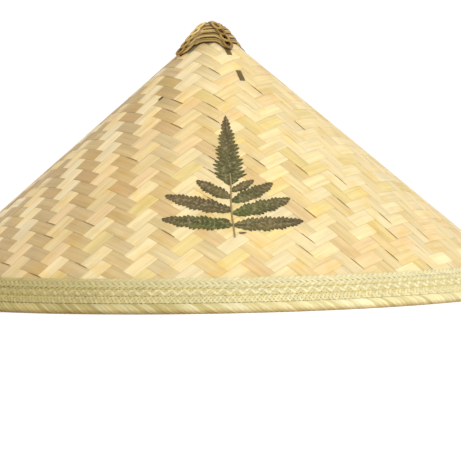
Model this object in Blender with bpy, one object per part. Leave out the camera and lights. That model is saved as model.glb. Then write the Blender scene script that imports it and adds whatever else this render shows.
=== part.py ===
"""A woven bamboo conical hat with a plaited straw rim, a cane-wound crown and a pressed fern on the front.

Metres, +Z up. The origin is the centre of the circle that the rim stands on, and the front faces -Y.
The wall is a cone with a rounded tip. A place on it is given by a slant distance, measured down the
slope from the point where the straight sides would meet, and an offset at right angles to the wall.
Offset 0 is the outer face of the outer weave, and a positive offset is further out.
"""

import math

import bmesh
import bpy
from mathutils import Matrix, Vector

# Driving dimensions
RIM_RADIUS = 0.250
RISE_PER_RUN = 0.858
TIP_RADIUS = 0.012
GAP = 0.0003
SEGMENTS = 48
TIP_STEPS = 3
STRIP_STEPS = 8
MERGE_DISTANCE = 1e-6
SHARP_ANGLE = math.radians(35)

# Wall layers, from the outside in
OUTER_WEAVE_THICKNESS = 0.0010
LINING_THICKNESS = 0.0003
INNER_WEAVE_THICKNESS = 0.0008

# Rim, listed from the edge up the slope
EDGE_RADIUS = 0.0035
EDGE_WALL = 0.0010
EDGE_SIDES = 12
EDGE_CANE_RADIUS = 0.0020
EDGE_CANE_SIDES = 8
LOWER_BRAID_WIDTH = 0.0048
MIDDLE_BRAID_WIDTH = 0.0054
UPPER_BRAID_WIDTH = 0.0096
BRAID_SHOULDER = 0.45
THREAD_WIDTH = 0.0006
GROOVE = 0.0012
LOWER_BRAID_HEIGHT = 0.0026
MIDDLE_BRAID_HEIGHT = 0.0026
UPPER_BRAID_HEIGHT = 0.0017
INSIDE_BRAID_WIDTH = 0.0130
INSIDE_BRAID_HEIGHT = 0.0014
HOOP_WIDTH = 0.0080
HOOP_THICKNESS = 0.0020

# Crown. Each rib: azimuth under the cap, azimuth at its end, slant distance of its end, slant distance
# of the cap's edge there, and how narrow the cap's tongue is there
RIBS = (
    (math.radians(-54), math.radians(-54), 0.0380, 0.0450, 14),
    (math.radians(27), math.radians(23.5), 0.0770, 0.0385, 36),
    (math.radians(126), math.radians(126), 0.0360, 0.0420, 24),
    (math.radians(-144), math.radians(-144), 0.0360, 0.0420, 24),
)
RIB_START = 0.0120
RIB_WIDTH = 0.0040
RIB_THICKNESS = 0.0006
CAP_EDGE_BETWEEN = 0.0275
CAP_THICKNESS = 0.0046
CAP_THINNING = 0.55
CAP_ROWS = 8
RIDGE_START = 0.0070
RIDGE_WIDTH = 0.0070
RIDGE_THICKNESS = 0.0016

# Head ring
RING_INNER_RADIUS = 0.0900
RING_TOP = 0.1200
RING_HEIGHT = 0.0350
RING_BAND_THICKNESS = 0.0009
RING_HOOP_HEIGHT = 0.0060
RING_HOOP_THICKNESS = 0.0020
LASHING_COUNT = 6
FIRST_LASHING_AZIMUTH = math.radians(30)
LASHING_CORD_RADIUS = 0.0006
LASHING_SLOT_WIDTH = 0.0080
LASHING_SLOT_DEPTH = 0.0060
LASHING_TOP_STEPS = 6

# Fern, laid out flat: x across the hat's front, y down the slope from where the straight sides meet
FERN_TIP = Vector((0.0089, 0.1215))
FERN_STEM_END = Vector((0.0127, 0.2584))
FERN_STEM_WIDTH = 0.0014
FERN_THICKNESS = 0.0005
BLADE_LENGTH_SHARE = 0.60
BLADE_HALF_WIDTH = 0.0107
BLADE_BROADEST = 0.82
BLADE_FULLNESS = 0.6
LEAFLET_POINTS = 6
# Powers that shape a leaflet's outline: the first moves its broadest part towards its root
LEAFLET_ROOTWARD = 0.8
LEAFLET_FULLNESS = 0.8
# Each leaflet: side (-1 left, +1 right), share of the stem from the tip, reach across, rise, half width
LEAFLETS = (
    (-1, 0.91, 0.0483, 0.0102, 0.0064),
    (-1, 0.80, 0.0458, 0.0200, 0.0061),
    (-1, 0.70, 0.0234, 0.0198, 0.0049),
    (1, 0.665, 0.0158, 0.0136, 0.0030),
    (1, 0.735, 0.0290, 0.0236, 0.0046),
    (1, 0.825, 0.0406, 0.0217, 0.0059),
    (1, 0.913, 0.0483, 0.0110, 0.0063),
)

# Derived places
SLOPE = math.atan(RISE_PER_RUN)
WALL = OUTER_WEAVE_THICKNESS + LINING_THICKNESS + INNER_WEAVE_THICKNESS + 2 * GAP
EDGE_CENTRE = Vector((RIM_RADIUS - EDGE_RADIUS, EDGE_RADIUS))
APEX_HEIGHT = EDGE_CENTRE.y + EDGE_CENTRE.x * RISE_PER_RUN + WALL / 2 / math.cos(SLOPE)
TIP_CENTRE_HEIGHT = APEX_HEIGHT - TIP_RADIUS / math.cos(SLOPE)
TIP_TANGENT = TIP_RADIUS * math.tan(SLOPE)
EDGE_SLANT = (EDGE_CENTRE.x + WALL / 2 * math.sin(SLOPE)) / math.cos(SLOPE)
WALL_END = EDGE_SLANT - EDGE_RADIUS + EDGE_WALL
HOOP_INNER = RING_INNER_RADIUS + RING_BAND_THICKNESS + GAP
HOOP_OUTER = HOOP_INNER + RING_HOOP_THICKNESS
CORD_ROOM = LASHING_CORD_RADIUS + GAP
LASHING_LOW = RING_TOP - RING_HOOP_HEIGHT - CORD_ROOM


def wall_point(slant, offset):
    """The (radius, height) of a place on the wall."""
    if slant >= TIP_TANGENT:
        return Vector(
            (
                slant * math.cos(SLOPE) + offset * math.sin(SLOPE),
                APEX_HEIGHT - slant * math.sin(SLOPE) + offset * math.cos(SLOPE),
            )
        )
    angle = SLOPE * slant / TIP_TANGENT
    reach = TIP_RADIUS + offset
    return Vector((reach * math.sin(angle), TIP_CENTRE_HEIGHT + reach * math.cos(angle)))


def placed(point, azimuth):
    """A (radius, height) point turned round the hat's axis, from azimuth 0 at the front towards +X."""
    return Vector((point.x * math.sin(azimuth), -point.x * math.cos(azimuth), point.y))


def srgb(red, green, blue):
    """Screen colours from 0 to 255 as the linear values that shaders use."""
    return tuple(((c / 255 + 0.055) / 1.055) ** 2.4 for c in (red, green, blue))


def material(name, colour, roughness):
    made = bpy.data.materials.new(name)
    made.use_nodes = True
    shader = made.node_tree.nodes["Principled BSDF"]
    shader.inputs["Base Color"].default_value = (*colour, 1.0)
    shader.inputs["Roughness"].default_value = roughness
    shader.inputs["Metallic"].default_value = 0.0
    return made


def finished(name, mesh_builder, surface):
    """An object from a bmesh, with its normals facing out and its round parts smooth."""
    bmesh.ops.recalc_face_normals(mesh_builder, faces=mesh_builder.faces)
    if mesh_builder.calc_volume(signed=True) < 0:
        bmesh.ops.reverse_faces(mesh_builder, faces=mesh_builder.faces)
    mesh = bpy.data.meshes.new(name)
    mesh_builder.to_mesh(mesh)
    mesh_builder.free()
    mesh.materials.append(surface)
    mesh.shade_smooth()
    mesh.set_sharp_from_angle(angle=SHARP_ANGLE)
    made = bpy.data.objects.new(name, mesh)
    bpy.context.scene.collection.objects.link(made)
    return made


def revolved(name, outline, surface, closed=True):
    """Spins an outline of (radius, height) points round the hat's axis. An open one ends on the axis."""
    shape = bmesh.new()
    corners = [shape.verts.new((p.x, 0, p.y)) for p in outline]
    following = corners[1:] + corners[:1] if closed else corners[1:]
    for start, end in zip(corners, following):
        shape.edges.new((start, end))
    bmesh.ops.spin(
        shape,
        geom=shape.verts[:] + shape.edges[:],
        cent=(0, 0, 0),
        axis=(0, 0, 1),
        angle=math.tau,
        steps=SEGMENTS,
        use_merge=True,
    )
    bmesh.ops.remove_doubles(shape, verts=shape.verts, dist=MERGE_DISTANCE)
    return finished(name, shape, surface)


def wall_layer(name, outer_offset, thickness, surface):
    """One layer of the wall: a thin cone with a rounded tip, open at the rim."""
    tip = [TIP_TANGENT * step / TIP_STEPS for step in range(TIP_STEPS + 1)]
    slants = tip + [WALL_END / 2, WALL_END]
    outside = [wall_point(s, outer_offset) for s in slants]
    inside = [wall_point(s, outer_offset - thickness) for s in reversed(slants)]
    return revolved(name, outside + inside, surface, closed=False)


def domed_strip(slant_from, slant_to, base_offset, height):
    """An outline for a braid that lies on the wall: flat against it, with bevelled shoulders."""
    shoulder = min(abs(height), (slant_to - slant_from) / 2) * BRAID_SHOULDER
    direction = math.copysign(1, height)
    low = base_offset + direction * shoulder
    top = base_offset + height
    corners = (
        (slant_from, base_offset),
        (slant_from, low),
        (slant_from + shoulder, top),
        (slant_to - shoulder, top),
        (slant_to, low),
        (slant_to, base_offset),
    )
    return [wall_point(s, o) for s, o in corners]


def plain_strip(slant_from, slant_to, base_offset, height):
    """An outline with square edges that lies on the wall."""
    corners = (
        (slant_from, base_offset),
        (slant_from, base_offset + height),
        (slant_to, base_offset + height),
        (slant_to, base_offset),
    )
    return [wall_point(s, o) for s, o in corners]


def edge_binding(surface):
    """The rolled edge: a C whose mouth faces up the slope and takes the wall, with a flat underside."""
    step = math.tau / EDGE_SIDES
    corner_radius = EDGE_RADIUS / math.cos(step / 2)
    inner_radius = EDGE_RADIUS - EDGE_WALL
    up_slope = math.pi - SLOPE
    mouth = math.asin((WALL / 2 + GAP) / inner_radius)
    outer_mouth = math.asin((WALL / 2 + GAP) / corner_radius)

    def ring(radius, half_gap):
        first = up_slope - half_gap
        last = up_slope + half_gap - math.tau
        angles = [first]
        turn = math.pi / 2 + step / 2 + step * 2
        while turn > last:
            if turn < first - step / 4 and turn > last + step / 4:
                angles.append(turn)
            turn -= step
        angles.append(last)
        return [EDGE_CENTRE + radius * Vector((math.cos(a), math.sin(a))) for a in angles]

    outside = ring(corner_radius, outer_mouth)
    inside = ring(inner_radius, mouth)
    return revolved("rim_edge_binding", outside + inside[::-1], surface)


def edge_cane(surface):
    """The round cane that the edge binding wraps."""
    outline = []
    for corner in range(EDGE_CANE_SIDES):
        angle = math.tau * (corner + 0.5) / EDGE_CANE_SIDES
        outline.append(EDGE_CANE_RADIUS * Vector((math.cos(angle), math.sin(angle))) + EDGE_CENTRE)
    return revolved("rim_edge_cane", outline, surface)


def rim(straw, bamboo, thread):
    """The bound edge, three braids up the outside with thread between, and a braid and hoop inside."""
    edge_binding(straw)
    edge_cane(bamboo)
    slant = EDGE_SLANT - EDGE_RADIUS - GAP
    rows = (
        ("rim_braid_lower", LOWER_BRAID_WIDTH, LOWER_BRAID_HEIGHT, "rim_thread_lower"),
        ("rim_braid_middle", MIDDLE_BRAID_WIDTH, MIDDLE_BRAID_HEIGHT, "rim_thread_upper"),
        ("rim_braid_upper", UPPER_BRAID_WIDTH, UPPER_BRAID_HEIGHT, None),
    )
    for braid_name, width, height, thread_name in rows:
        revolved(braid_name, domed_strip(slant - width, slant, GAP, height), straw)
        slant -= width + GROOVE
        if thread_name:
            middle = slant + GROOVE / 2
            outline = plain_strip(middle - THREAD_WIDTH / 2, middle + THREAD_WIDTH / 2, GAP, THREAD_WIDTH)
            revolved(thread_name, outline, thread)
    inside_face = -WALL - GAP
    braid_low = EDGE_SLANT - EDGE_RADIUS - GAP
    braid_high = braid_low - INSIDE_BRAID_WIDTH
    braid = domed_strip(braid_high, braid_low, inside_face, -INSIDE_BRAID_HEIGHT)
    revolved("rim_braid_inside", braid, straw)
    hoop_low = braid_high - GROOVE
    hoop = domed_strip(hoop_low - HOOP_WIDTH, hoop_low, inside_face, -HOOP_THICKNESS)
    revolved("rim_hoop", hoop, bamboo)


def strip_down_wall(name, path, width, thickness, surface):
    """A flat strip along a path of (slant, azimuth, offset of its underside) places.

    It touches the round wall along its middle, so its two edges stand slightly clear.
    """
    shape = bmesh.new()
    sections = []
    for slant, azimuth, base in path:
        section = []
        for across, lift in ((-1, 0), (1, 0), (1, 1), (-1, 1)):
            point = placed(wall_point(slant, base + thickness * lift), azimuth)
            sideways = Vector((math.cos(azimuth), math.sin(azimuth), 0))
            section.append(shape.verts.new(point + sideways * across * width / 2))
        sections.append(section)
    for upper, lower in zip(sections, sections[1:]):
        for side in range(4):
            following = (side + 1) % 4
            shape.faces.new((upper[side], upper[following], lower[following], lower[side]))
    shape.faces.new(sections[0])
    shape.faces.new(sections[-1][::-1])
    return finished(name, shape, surface)


def cap_edge(azimuth):
    """The slant distance of the cap's edge, which hangs lower in a narrow tongue at each rib."""
    away, edge, narrowness = min(
        (abs(math.remainder(azimuth - rib[0], math.tau)), rib[3], rib[4]) for rib in RIBS
    )
    hang = max(0.0, math.cos(1.5 * away)) ** narrowness
    return CAP_EDGE_BETWEEN + (edge - CAP_EDGE_BETWEEN) * hang


def cap_offset(share):
    """The cap's outer face, from its tip at share 0 to its edge at share 1."""
    return GAP * 2 + RIB_THICKNESS + CAP_THICKNESS * (1 - CAP_THINNING * share**2)


def crown_ribs(surface):
    """Dark cane strips under the ridges. The right one runs on past the cap."""
    for index, (azimuth, end_azimuth, end, _, _) in enumerate(RIBS):
        path = []
        for step in range(STRIP_STEPS + 1):
            t = step / STRIP_STEPS
            path.append((RIB_START + (end - RIB_START) * t, azimuth + (end_azimuth - azimuth) * t, GAP))
        strip_down_wall(f"crown_rib_{index + 1}", path, RIB_WIDTH, RIB_THICKNESS, surface)


def crown_winding(surface):
    """The cane winding as one cap over the tip."""
    floor = GAP * 2 + RIB_THICKNESS
    shape = bmesh.new()

    def shell(offset_at):
        """Rings of corners down from one point on the axis."""
        top = shape.verts.new(placed(wall_point(0, offset_at(0)), 0))
        rings = []
        for row in range(1, CAP_ROWS + 1):
            share = row / CAP_ROWS
            ring = []
            for corner in range(SEGMENTS):
                azimuth = math.tau * corner / SEGMENTS
                point = wall_point(cap_edge(azimuth) * share, offset_at(share))
                ring.append(shape.verts.new(placed(point, azimuth)))
            rings.append(ring)
        for corner in range(SEGMENTS):
            following = (corner + 1) % SEGMENTS
            shape.faces.new((top, rings[0][corner], rings[0][following]))
            for upper, lower in zip(rings, rings[1:]):
                shape.faces.new((upper[corner], lower[corner], lower[following], upper[following]))
        return rings[-1]

    outer = shell(cap_offset)
    inner = shell(lambda share: floor)
    for corner in range(SEGMENTS):
        following = (corner + 1) % SEGMENTS
        shape.faces.new((outer[corner], inner[corner], inner[following], outer[following]))
    return finished("crown_winding", shape, surface)


def crown_ridges(surface):
    """The looped ridges, which lie on the winding above the ribs."""
    for index, (azimuth, *_) in enumerate(RIBS):
        edge = cap_edge(azimuth)
        path = []
        for step in range(STRIP_STEPS + 1):
            slant = RIDGE_START + (edge - RIDGE_START) * step / STRIP_STEPS
            path.append((slant, azimuth, cap_offset(slant / edge) + GAP))
        strip_down_wall(f"crown_ridge_{index + 1}", path, RIDGE_WIDTH, RIDGE_THICKNESS, surface)


def rectangle(inner, outer, low, high):
    return [Vector(p) for p in ((inner, low), (outer, low), (outer, high), (inner, high))]


def lashing_azimuth(index):
    return FIRST_LASHING_AZIMUTH + index * math.tau / LASHING_COUNT


def head_ring(bamboo):
    """A band inside two hoops. The band has a slot for each lashing just under the upper hoop."""
    bottom = RING_TOP - RING_HEIGHT
    upper = rectangle(HOOP_INNER, HOOP_OUTER, RING_TOP - RING_HOOP_HEIGHT, RING_TOP)
    revolved("head_ring_upper_hoop", upper, bamboo)
    lower = rectangle(HOOP_INNER, HOOP_OUTER, bottom, bottom + RING_HOOP_HEIGHT)
    revolved("head_ring_lower_hoop", lower, bamboo)
    band_outer = RING_INNER_RADIUS + RING_BAND_THICKNESS
    band = revolved("head_ring_band", rectangle(RING_INNER_RADIUS, band_outer, bottom, RING_TOP), bamboo)

    slots = bmesh.new()
    size = Matrix.Diagonal((LASHING_SLOT_WIDTH, LASHING_SLOT_DEPTH, CORD_ROOM * 2, 1))
    for index in range(LASHING_COUNT):
        place = Matrix.Translation(placed(Vector((band_outer, LASHING_LOW)), lashing_azimuth(index)))
        turn = Matrix.Rotation(lashing_azimuth(index), 4, "Z")
        bmesh.ops.create_cube(slots, size=1, matrix=place @ turn @ size)
    cutter = finished("lashing_slots", slots, bamboo)
    cutter.hide_render = True
    cutter.display_type = "WIRE"
    cut = band.modifiers.new("lashing slots", "BOOLEAN")
    cut.operation = "DIFFERENCE"
    cut.object = cutter


def head_ring_lashings(cord):
    """Cord loops round the upper hoop, from the slots in the band up to the inner weave."""
    inner_line = RING_INNER_RADIUS - CORD_ROOM
    outer_line = HOOP_OUTER + CORD_ROOM
    half_width = (outer_line - inner_line) / 2
    middle = (outer_line + inner_line) / 2
    inner_wall = APEX_HEIGHT - middle * RISE_PER_RUN - WALL / math.cos(SLOPE)
    top_centre = inner_wall - (half_width + CORD_ROOM + GAP) / math.cos(SLOPE)
    points = [(inner_line, LASHING_LOW), (outer_line, LASHING_LOW)]
    for step in range(LASHING_TOP_STEPS + 1):
        angle = math.pi * step / LASHING_TOP_STEPS
        points.append((middle + half_width * math.cos(angle), top_centre + half_width * math.sin(angle)))

    loop = bpy.data.curves.new("lashing", "CURVE")
    loop.dimensions = "3D"
    loop.bevel_depth = LASHING_CORD_RADIUS
    loop.bevel_resolution = 1
    loop.materials.append(cord)
    path = loop.splines.new("POLY")
    path.points.add(len(points) - 1)
    path.use_cyclic_u = True
    for spline_point, (radius, height) in zip(path.points, points):
        spline_point.co = (0, -radius, height, 1)
    for index in range(LASHING_COUNT):
        lashing = bpy.data.objects.new(f"head_ring_lashing_{index + 1}", loop)
        lashing.rotation_euler.z = lashing_azimuth(index)
        bpy.context.scene.collection.objects.link(lashing)


def fern_outline():
    """The frond flat, as one closed outline: up the left side, round the blade's tip and down the right."""
    stem = FERN_STEM_END - FERN_TIP

    def on_stem(share, aside=0.0):
        return FERN_TIP + stem * share + Vector((aside, 0))

    def leaflet(side, share, reach, rise, half_width):
        """Out along the lower edge and back along the upper one, from one side of the stem."""
        root = on_stem(share, side * FERN_STEM_WIDTH / 2)
        along = Vector((side * reach, -rise))
        across = Vector((-along.y, along.x)).normalized() * side
        lower, upper = [], []
        for step in range(1, LEAFLET_POINTS):
            t = step / LEAFLET_POINTS
            swell = half_width * math.sin(math.pi * t**LEAFLET_ROOTWARD) ** LEAFLET_FULLNESS
            lower.append(root + along * t + across * swell)
            upper.append(root + along * t - across * swell)
        tip = root + along
        neck = Vector((0, FERN_STEM_WIDTH / 2))
        return [root + neck, *lower, tip, *reversed(upper), root - neck]

    def blade_side(side):
        """Down one side of the blade, which widens steadily from its tip and rounds off at its foot."""
        edge = []
        for step in range(1, LEAFLET_POINTS + 1):
            t = step / (LEAFLET_POINTS + 1)
            growth = min(t / BLADE_BROADEST, (1 - t) / (1 - BLADE_BROADEST))
            swell = BLADE_HALF_WIDTH * growth**BLADE_FULLNESS
            edge.append(on_stem(BLADE_LENGTH_SHARE * t, side * swell))
        return edge

    left = [p for row in LEAFLETS if row[0] < 0 for p in leaflet(*row)]
    right = [p for row in LEAFLETS if row[0] > 0 for p in reversed(leaflet(*row))]
    foot = [on_stem(1, FERN_STEM_WIDTH / 2), on_stem(1, -FERN_STEM_WIDTH / 2)]
    neck_left = on_stem(BLADE_LENGTH_SHARE, -FERN_STEM_WIDTH / 2)
    neck_right = on_stem(BLADE_LENGTH_SHARE, FERN_STEM_WIDTH / 2)
    blade_left = blade_side(-1)[::-1]
    blade_right = blade_side(1)
    return [*foot, *left, neck_left, *blade_left, FERN_TIP, *blade_right, neck_right, *right]


def fern_frond(surface):
    """The pressed frond: its flat outline filled, thickened and bent onto the wall."""
    outline = fern_outline()
    shape = bmesh.new()
    corners = [shape.verts.new((p.x, p.y, 0)) for p in outline]
    face = shape.faces.new(corners)
    face.normal_update()
    bmesh.ops.triangulate(shape, faces=[face])
    raised = bmesh.ops.extrude_face_region(shape, geom=shape.faces[:])
    lifted = {v for v in raised["geom"] if isinstance(v, bmesh.types.BMVert)}
    for corner in shape.verts:
        slant = corner.co.xy.length
        turned = math.atan2(corner.co.x, corner.co.y) / math.cos(SLOPE)
        offset = GAP + (FERN_THICKNESS if corner in lifted else 0)
        corner.co = placed(wall_point(slant, offset), turned)
    return finished("fern_frond", shape, surface)


def build():
    for old in list(bpy.data.objects):
        bpy.data.objects.remove(old)
    bamboo = material("pale bamboo", srgb(236, 212, 160), 0.55)
    leaf = material("dried bamboo leaf", srgb(176, 156, 100), 0.70)
    straw = material("yellow green straw", srgb(222, 212, 138), 0.60)
    cane = material("aged cane", srgb(164, 128, 66), 0.50)
    dark_cane = material("dark cane", srgb(122, 106, 60), 0.55)
    fern = material("pressed fern", srgb(92, 88, 52), 0.75)
    cord = material("cotton cord", srgb(214, 200, 168), 0.80)

    lining_offset = -OUTER_WEAVE_THICKNESS - GAP
    inner_offset = lining_offset - LINING_THICKNESS - GAP
    wall_layer("outer_weave", 0.0, OUTER_WEAVE_THICKNESS, bamboo)
    wall_layer("leaf_lining", lining_offset, LINING_THICKNESS, leaf)
    wall_layer("inner_weave", inner_offset, INNER_WEAVE_THICKNESS, bamboo)
    rim(straw, bamboo, cord)
    crown_ribs(dark_cane)
    crown_winding(cane)
    crown_ridges(cane)
    head_ring(bamboo)
    head_ring_lashings(cord)
    fern_frond(fern)


build()
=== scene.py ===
"""The looks of a woven bamboo conical hat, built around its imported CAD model.

A place on the hat's wall is given as in the CAD: a slant distance down from the point where the
straight sides would meet, an azimuth that is 0 at the front and grows towards +X, and an offset at
right angles to the wall. Offset 0 is the outer weave's outer face, and a positive offset is further out.

Every woven, braided or wound part is made of strands. A strand is a grid of points: rows along the
strand, and a closed profile across it.
"""

import math
import random

import bmesh
import bpy
import numpy as np
from mathutils import Matrix, Vector


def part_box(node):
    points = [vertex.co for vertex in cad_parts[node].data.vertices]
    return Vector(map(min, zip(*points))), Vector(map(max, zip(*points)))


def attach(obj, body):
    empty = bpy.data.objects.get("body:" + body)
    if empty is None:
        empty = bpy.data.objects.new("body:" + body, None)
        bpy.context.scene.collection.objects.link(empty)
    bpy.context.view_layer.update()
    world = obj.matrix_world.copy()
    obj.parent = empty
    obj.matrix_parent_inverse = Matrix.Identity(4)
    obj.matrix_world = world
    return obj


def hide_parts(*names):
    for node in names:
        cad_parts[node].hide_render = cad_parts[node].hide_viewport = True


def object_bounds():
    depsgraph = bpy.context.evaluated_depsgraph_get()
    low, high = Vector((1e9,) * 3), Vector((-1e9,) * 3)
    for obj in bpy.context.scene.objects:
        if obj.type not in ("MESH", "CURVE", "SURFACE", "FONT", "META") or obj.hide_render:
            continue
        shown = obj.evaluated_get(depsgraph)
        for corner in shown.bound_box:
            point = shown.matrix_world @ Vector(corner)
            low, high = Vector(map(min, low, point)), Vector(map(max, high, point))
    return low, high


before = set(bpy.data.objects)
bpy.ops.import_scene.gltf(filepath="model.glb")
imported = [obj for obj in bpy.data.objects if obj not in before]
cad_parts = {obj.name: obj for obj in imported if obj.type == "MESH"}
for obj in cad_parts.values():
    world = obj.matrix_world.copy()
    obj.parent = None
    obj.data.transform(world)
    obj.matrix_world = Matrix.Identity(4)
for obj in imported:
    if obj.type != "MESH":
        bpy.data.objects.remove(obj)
CAD_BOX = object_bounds()

MM = 0.001
# The wall's rise for each unit of run, as in the CAD
RISE_PER_RUN = 0.858
SLOPE = math.atan(RISE_PER_RUN)
COS, SIN = math.cos(SLOPE), math.sin(SLOPE)


# ---- places read from the CAD model


def cad_points(node):
    """A CAD node's corners."""
    return np.array([v.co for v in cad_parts[node].data.vertices], float)


def radii(points):
    """How far points are from the hat's axis."""
    return np.hypot(points[:, 0], points[:, 1])


def measured_wall():
    """The height where the straight sides meet, the wall's slant length and the tip's radius."""
    points = cad_points("outer_weave")
    edge = np.argmax(radii(points))
    radius = radii(points)[edge]
    apex = points[edge, 2] + radius * RISE_PER_RUN
    tip_radius = (apex - points[:, 2].max()) / (1 / COS - 1)
    return apex, radius / COS, tip_radius


APEX, WALL_END, TIP_RADIUS = measured_wall()
# The slant where the rounded tip ends, and a slant safely beyond it
TIP_TANGENT = TIP_RADIUS * math.tan(SLOPE)
STRAIGHT_FROM = TIP_TANGENT * 1.3
TIP_CENTRE = APEX - TIP_RADIUS / COS


def on_wall(points):
    """The slants, offsets and azimuths of points given in space."""
    radius, drop = radii(points), APEX - points[:, 2]
    azimuth = np.arctan2(points[:, 0], -points[:, 1])
    return radius * COS + drop * SIN, radius * SIN - drop * COS, azimuth


def wall_range(node):
    """A CAD node's lowest and highest slant, and its lowest and highest offset below the rounded tip."""
    slant, offset, _ = on_wall(cad_points(node))
    straight = offset[slant > STRAIGHT_FROM]
    return slant.min(), slant.max(), straight.min(), straight.max()


def around(radius, azimuth, height):
    """Points in space from arrays of distances from the hat's axis, azimuths and heights."""
    axes = radius * np.sin(azimuth), -radius * np.cos(azimuth), height
    return np.stack(np.broadcast_arrays(*axes), -1)


def place(slant, azimuth, offset):
    """Points in space from arrays of slants, azimuths and offsets."""
    straight = slant >= TIP_TANGENT
    angle = SLOPE * slant / TIP_TANGENT
    bulge = TIP_RADIUS + offset
    radius = np.where(straight, slant * COS + offset * SIN, bulge * np.sin(angle))
    height = np.where(straight, APEX - slant * SIN + offset * COS, TIP_CENTRE + bulge * np.cos(angle))
    return around(radius, azimuth, height)


def outward(azimuth):
    """The wall's outward direction at an azimuth."""
    return around(SIN, azimuth, COS)


def ring(count):
    """Evenly spaced angles round a full turn."""
    return np.arange(count) * math.tau / count


def smooth_share(value, low, high):
    """0 up to low and 1 from high, smooth in between."""
    share = np.clip((value - low) / (high - low), 0, 1)
    return share * share * (3 - 2 * share)


# ---- strands

SHARP_ANGLE = math.radians(50)
# A split strip's profile: flat below, slightly crowned above, with thin rounded edges
STRIP_ACROSS = np.array([-1, -0.97, -0.55, 0, 0.55, 0.97, 1, 0.9, 0, -0.9])
STRIP_HEIGHT = np.array([0.55, 0.85, 0.97, 1, 0.97, 0.85, 0.55, 0, 0, 0])
STRIP_TOP = slice(1, 6)


def srgb(red, green, blue):
    """Screen colours from 0 to 255 as the linear values that shaders use."""
    return np.array([((c / 255 + 0.055) / 1.055) ** 2.4 for c in (red, green, blue)])


def weighted(*rows):
    """Colours to choose from, given as rows of red, green, blue and weight."""
    return [(srgb(*colour), weight) for *colour, weight in rows]


def unit(vectors):
    return vectors / np.maximum(np.linalg.norm(vectors, axis=-1, keepdims=True), 1e-12)


def oval(half_width, half_height, sides=8):
    """A round or flattened profile."""
    return np.stack([half_width * np.cos(ring(sides)), half_height * np.sin(ring(sides))], -1)


def flat_profile(half_width, thickness, crown):
    """A split strip's profile. crown is how far its upper face bulges."""
    height = STRIP_HEIGHT * thickness
    height[STRIP_TOP] += crown * (1 - STRIP_ACROSS[STRIP_TOP] ** 2)
    return np.stack([STRIP_ACROSS * half_width, height - thickness / 2], -1)


def in_scene(name, data):
    made = bpy.data.objects.new(name, data)
    bpy.context.scene.collection.objects.link(made)
    return made


def add_attribute(mesh, name, kind, key, values):
    layer = mesh.attributes.new(name, kind, "POINT")
    layer.data.foreach_set(key, values.astype(np.float32).ravel())


class Strands:
    """Gathers a CAD node's strands into meshes, with a grain position and a colour for each point.

    Each has its own seed, so that a change to one part leaves the others as they are.
    """

    def __init__(self, node, seed=0):
        self.node = node
        self.chance = random.Random(seed)
        self.uniform = self.chance.uniform
        self.clear()

    def clear(self):
        self.points, self.faces, self.grain, self.tone = [], [], [], []
        self.count = 0
        self.strands = 0

    def chosen(self, tones):
        """One of several weighted colours, slightly lighter or darker."""
        colours, weights = zip(*tones)
        return self.chance.choices(colours, weights)[0] * self.uniform(0.94, 1.05)

    def add(self, grid, along, across, tone, closed=False):
        """grid is rows x profile x 3. along is metres down the strand, and across runs from -1 to 1."""
        rows, sides = grid.shape[:2]
        index = self.count + np.arange(rows * sides).reshape(rows, sides)
        start = index if closed else index[:-1]
        end = np.roll(index, -1, axis=0) if closed else index[1:]
        quads = np.stack([start, np.roll(start, -1, 1), np.roll(end, -1, 1), end], -1)
        self.faces += quads.reshape(-1, 4).tolist()
        if not closed:
            self.faces += [index[0][::-1].tolist(), index[-1].tolist()]
        self.points.append(grid.reshape(-1, 3))
        across = np.broadcast_to(across, (rows, sides))
        along = np.broadcast_to(np.asarray(along)[:, None], (rows, sides))
        number = np.full((rows, sides), float(self.strands))
        self.grain.append(np.stack([along, across, number], -1).reshape(-1, 3))
        if np.ndim(tone) == 2:
            tone = tone[:, None, :]
        self.tone.append(np.broadcast_to(tone, (rows, sides, 3)).reshape(-1, 3))
        self.count += rows * sides
        self.strands += 1

    def sweep(self, centres, normals, profile, tone, closed=False):
        """A strand along centres, with its profile's second axis towards normals."""
        if closed:
            forward = unit(np.roll(centres, -1, 0) - np.roll(centres, 1, 0))
            steps = np.linalg.norm(np.roll(centres, -1, 0) - centres, axis=1)
        else:
            forward = unit(np.gradient(centres, axis=0))
            steps = np.linalg.norm(np.diff(centres, axis=0, append=centres[-1:]), axis=1)
        sideways = unit(np.cross(forward, normals))
        up = np.cross(sideways, forward)
        profile = np.broadcast_to(profile, (len(centres),) + np.shape(profile)[-2:])
        grid = (
            centres[:, None]
            + sideways[:, None] * profile[..., 0, None]
            + up[:, None] * profile[..., 1, None]
        )
        across = profile[..., 0] / np.abs(profile[..., 0]).max()
        self.add(grid, np.cumsum(steps), across, tone, closed)

    def lay(self, slant, azimuth, offset, profile, tone, closed=False):
        """A strand along places on the wall."""
        self.sweep(place(slant, azimuth, offset), outward(azimuth), profile, tone, closed)

    def piece(self, suffix, material):
        """Makes an object of the strands so far. It stands for the CAD node and rides on the hat."""
        name = f"{self.node}_{suffix}"
        mesh = bpy.data.meshes.new(name)
        mesh.from_pydata(np.concatenate(self.points).tolist(), [], self.faces)
        tone = np.concatenate(self.tone)
        opaque = np.ones(len(tone))
        add_attribute(mesh, "grain", "FLOAT_VECTOR", "vector", np.concatenate(self.grain))
        add_attribute(mesh, "tone", "FLOAT_COLOR", "color", np.column_stack([tone, opaque]))
        shape = bmesh.new()
        shape.from_mesh(mesh)
        bmesh.ops.recalc_face_normals(shape, faces=shape.faces)
        shape.to_mesh(mesh)
        shape.free()
        mesh.materials.append(material)
        mesh.shade_smooth()
        mesh.set_sharp_from_angle(angle=SHARP_ANGLE)
        made = in_scene(name, mesh)
        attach(made, "root")
        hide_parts(self.node)
        self.clear()


# ---- materials

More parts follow.
